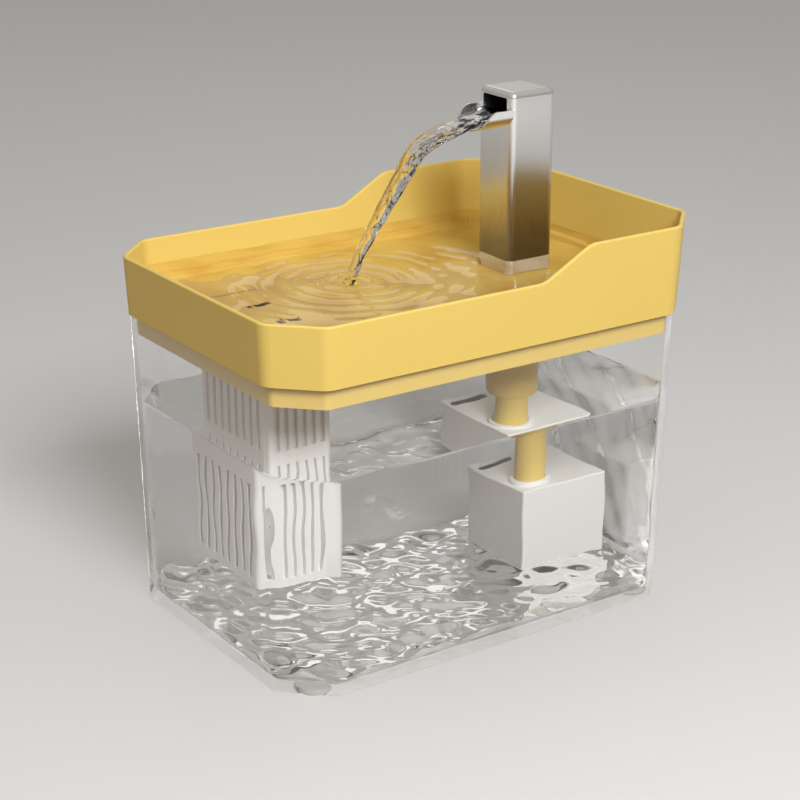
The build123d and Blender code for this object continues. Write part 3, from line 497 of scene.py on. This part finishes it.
on_floor = slice(0, floor_rings)
on_walls = slice(floor_rings + corner_rings, len(points) - top_rings)
on_top = slice(len(points) - top_rings, len(points))
floor_lift = 1.9             # keeps the waves of the lower skin off the tank's floor
wall_waver = 0.004           # the walls' waves come in by up to twice this share of the reach
points[on_floor, :, 2] += floor_lift + waves(points[on_floor], (1.2, 20, 3), (0.7, 10, 4))
points[on_walls, :, :2] *= 1 - wall_waver * (1 + swell(points[on_walls], 24, 5))[..., None]
points[on_top, :, 2] += waves(points[on_top], (0.24, 34, 8), (0.06, 13, 9))
tank_water = surface("tank_water", [points * MM], poles=True)

# Painted shade: below a height, which takes in the low places of the wavy lower skin, the water is painted
# darker and browner, for the light that gathers less under them.
low_water, high_water, low_water_painted_shade = 5.6, 9.0, (0.62, 0.585, 0.54)
tank_water_finish, tree, colour = clear_water("tank_water", tank_water_bending, (0.985, 0.985, 0.985))
out_of_troughs = above(tree, low_water, high_water)
give(tree, colour, blend_colours(tree, out_of_troughs, low_water_painted_shade, (1.0, 1.0, 1.0)))
tank_water.data.materials.append(tank_water_finish)
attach(tank_water, "tank")

# ---------------------------------------------------------------- water in the tray
# A shallow pool over the sunk floor and its ledge, ringed by ripples from where the stream lands,
# with small bubbles round that spot.
landing = np.array([-2.0, -29.0])
tray_wall_inset = 1.8
tray_wall_lean = np.tan(np.radians(2.8))
basin_inset = 5.5
basin_floor = 133.4
ledge_height = 142.8
pool_top_share = 0.999
basin_rings, pool_rings = 8, 190


def tray_wall_reach(height):
    """The tray's inner wall at a height."""
    return footprint(tray_wall_inset - (height - tank_rim) * tray_wall_lean)


basin_reach = footprint(basin_inset)
pool_reach = tray_wall_reach(tray_water_level)
points = skin(
    [
        disc(basin_reach, basin_floor, basin_rings),
        ring(basin_reach, ledge_height),
        ring(tray_wall_reach(ledge_height), ledge_height),
        ring(pool_reach, tray_water_level),
        disc(pool_reach * pool_top_share, tray_water_level, pool_rings, inwards=True),
    ]
)

# Ripples: a cosine of the distance from the landing, fading outwards, whose phase and height wander.
# Round the stream stands a small crown with five points.
ripple_height, ripple_length, ripple_start, ripple_fade = 0.36, 9.0, 1.2, 40
crown_height, crown_radius, crown_width, crown_points = 2.2, 3.4, 1.3, 5
on_top = slice(len(points) - pool_rings, len(points))
away = points[on_top, :, :2] - landing
distance = np.linalg.norm(away, axis=-1)
bearing = np.arctan2(away[..., 1], away[..., 0])
wandering = 1.3 * swell(points[on_top], 30, 23)
phase = 2 * np.pi * distance / ripple_length - ripple_start + wandering
ripples = ripple_height * np.cos(phase) * np.exp(-distance / ripple_fade)
ripples *= 0.75 + 0.5 * swell(points[on_top], 22, 24)
crown = crown_height * np.exp(-(((distance - crown_radius) / crown_width) ** 2))
crown *= 1 + 0.4 * np.sin(crown_points * bearing)
points[on_top, :, 2] += ripples + crown
points[on_top, :, 2] += waves(points[on_top], (0.4, 28, 21), (0.05, 9, 22))
tray_water = surface("tray_water", [points * MM], poles=True)

water_bending = 1.33
# Painted shade: the pool's colour darkens and warms what lies under it, its ripple troughs are painted
# dark ochre, and lamp light through it is cut, so the tray's floor reads darker under the water.
pool_painted_shade_tint, trough_painted_shade = (0.95, 0.91, 0.83), (0.68, 0.50, 0.29)
pool_finish, tree, colour = clear_water("tray_water", water_bending, (0.84, 0.79, 0.72))
out_of_troughs = above(tree, tray_water_level - 0.45, tray_water_level + 0.25)
give(tree, colour, blend_colours(tree, out_of_troughs, trough_painted_shade, pool_painted_shade_tint))
tray_water.data.materials.append(pool_finish)
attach(tray_water, "tray")

bubble_count = 26
bubble_lift = 0.3
bubble_flatness = 0.8
rng = np.random.default_rng(7)
bubble_reach = rng.uniform(4.5, 17.0, bubble_count)
bubble_bearing = rng.uniform(0, 2 * np.pi, bubble_count)
bubble_size = rng.uniform(0.35, 1.0, bubble_count)
spots = np.stack(
    [
        landing[0] + bubble_reach * np.cos(bubble_bearing),
        landing[1] + bubble_reach * np.sin(bubble_bearing),
        np.full(bubble_count, tray_water_level + bubble_lift),
    ],
    axis=-1,
)
climb = np.linspace(-np.pi / 2, np.pi / 2, 11)[1:-1, None]
turn = np.linspace(0, 2 * np.pi, 16, endpoint=False)[None, :]
ball = np.stack(
    [np.cos(climb) * np.cos(turn), np.cos(climb) * np.sin(turn), np.sin(climb) * np.ones_like(turn)],
    axis=-1,
)
ball *= (1, 1, bubble_flatness)
balls = [(spot + ball * size) * MM for spot, size in zip(spots, bubble_size)]
bubbles = surface("bubbles", balls, poles=True)
drop_tint, drop_ripple_size, drop_ripple_depth = (0.9, 0.9, 0.9), 300, 0.06
drop_finish = clear_water("drops", water_bending, drop_tint, drop_ripple_size, drop_ripple_depth)[0]
bubbles.data.materials.append(drop_finish)
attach(bubbles, "tray")

# ---------------------------------------------------------------- stream from the tap
# A broad, thin tongue of water that leaves the lip almost level, draws in as it falls, and lands
# in the tray.
stream_line = np.array(
    [   # x, y and z of its middle, its width and its thickness
        (0, 66, 223.0, 16.6, 6.2),
        (0, 56, 223.4, 16.8, 7.2),
        (0, 47, 223.4, 16.8, 7.4),
        (0, 39, 221.9, 16.6, 5.4),
        (0, 30, 219.9, 17.6, 3.2),
        (-0.1, 21, 217.7, 18.6, 2.8),
        (-0.3, 12.5, 214.6, 17.0, 3.0),
        (-0.5, 5.0, 209.8, 14.0, 3.4),
        (-0.8, -2.6, 199.4, 11.4, 4.0),
        (-1.1, -11.0, 187.4, 9.0, 4.0),
        (-1.5, -19.0, 175.4, 7.0, 3.8),
        (-1.8, -25.4, 165.0, 5.6, 3.6),
        (-2.0, -29.4, 154.6, 5.2, 3.6),
    ]
)
stream_steps, stream_sides = 320, 120
rope_from, rope_over = 45, 40       # how far along it starts to close to one rope, and over what length
free_from, free_over = 16, 14       # how far along its surface starts to break up, and over what length


def through(knots, count):
    """A smooth line through rows of knots: a cubic Hermite curve with central slopes."""
    at = np.linspace(0, len(knots) - 1, count)
    low = np.minimum(at.astype(int), len(knots) - 2)
    t = (at - low)[:, None]
    slope = np.gradient(knots, axis=0)
    a, b, m, n = knots[low], knots[low + 1], slope[low], slope[low + 1]
    return (
        (2 * t**3 - 3 * t**2 + 1) * a
        + (t**3 - 2 * t**2 + t) * m
        + (3 * t**2 - 2 * t**3) * b
        + (t**3 - t**2) * n
    )


def from_to(run, start, length):
    """0 before a place along the stream and 1 from that length after it, by a straight line."""
    return np.clip((run - start) / length, 0, 1)


line = through(stream_line, stream_steps)
centre, width, thickness = line[:, None, :3], line[:, 3:4, None], line[:, 4:5, None]
ahead = np.gradient(line[:, :3], axis=0)
across = np.array([1.0, 0, 0])
up = np.cross(ahead, across)
up = (up / np.linalg.norm(up, axis=1)[:, None])[:, None]
steps = np.linalg.norm(np.diff(line[:, :3], axis=0), axis=1)
run = np.concatenate([[0], np.cumsum(steps)])[:, None, None]

# At first its section is a film between two ropes, half as thick as they are, and further down it
# closes to one rope.  It is smooth inside the tap, and its surface breaks up once it is free.
turn = np.linspace(0, 2 * np.pi, stream_sides, endpoint=False)[:, None]
cos, sin = np.cos(turn), np.sin(turn)
film = 0.5 + 0.5 * from_to(run, rope_from, rope_over)
rope = film + (1 - film) * np.abs(cos) ** 3
side = np.sign(cos) * np.abs(cos) ** 0.8
face = np.sign(sin) * np.abs(sin) ** 0.8
points = centre + across * width / 2 * side + up * thickness / 2 * face * rope
flattened = points * (1, 0.6, 0.6)
rough = 0.24 * swell(points, 8, 31) + 0.14 * swell(flattened, 4.5, 32)
rough *= from_to(run, free_from, free_over)[..., 0]
points += (across * cos + up * sin) * rough[..., None]
stream = surface("stream", [points * MM], poles=True)


def arithmetic(tree, operation, first, second=0.0):
    """The result of one operation on two values, each a number or a socket."""
    made = node(tree, "Math")
    made.operation = operation
    give(tree, made.inputs[0], first)
    give(tree, made.inputs[1], second)
    return made.outputs[0]


# Dark veins are painted through the stream's +X side as painted dark reflections: they lie where a noise
# is near its middle value, and their width fades to nothing across the stream.
painted_reflection_vein_tone, vein_width, vein_sides = (0.05, 0.045, 0.04), 0.017, (-4.0, 1.0)
stream_finish, tree, colour = clear_water(
    "falling_water", water_bending, drop_tint, drop_ripple_size, drop_ripple_depth
)
noise = object_noise(tree, 170, 2, stretch=(1.2, 0.7, 0.7), distortion=1.2)
off_middle = arithmetic(tree, "ABSOLUTE", arithmetic(tree, "SUBTRACT", noise, 0.5))
place = node(tree, "SeparateXYZ", Vector=node(tree, "TexCoord").outputs["Object"])
fading = spread(tree, place.outputs["X"], vein_width * 2, 0, vein_sides[0] * MM, vein_sides[1] * MM)
off_vein = arithmetic(tree, "ADD", off_middle, fading)
clear_share = spread(tree, off_vein, 0, 1, vein_width, vein_width * 1.6)
give(tree, colour, blend_colours(tree, clear_share, painted_reflection_vein_tone, (1.0, 1.0, 1.0)))
stream.data.materials.append(stream_finish)
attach(stream, "tap")
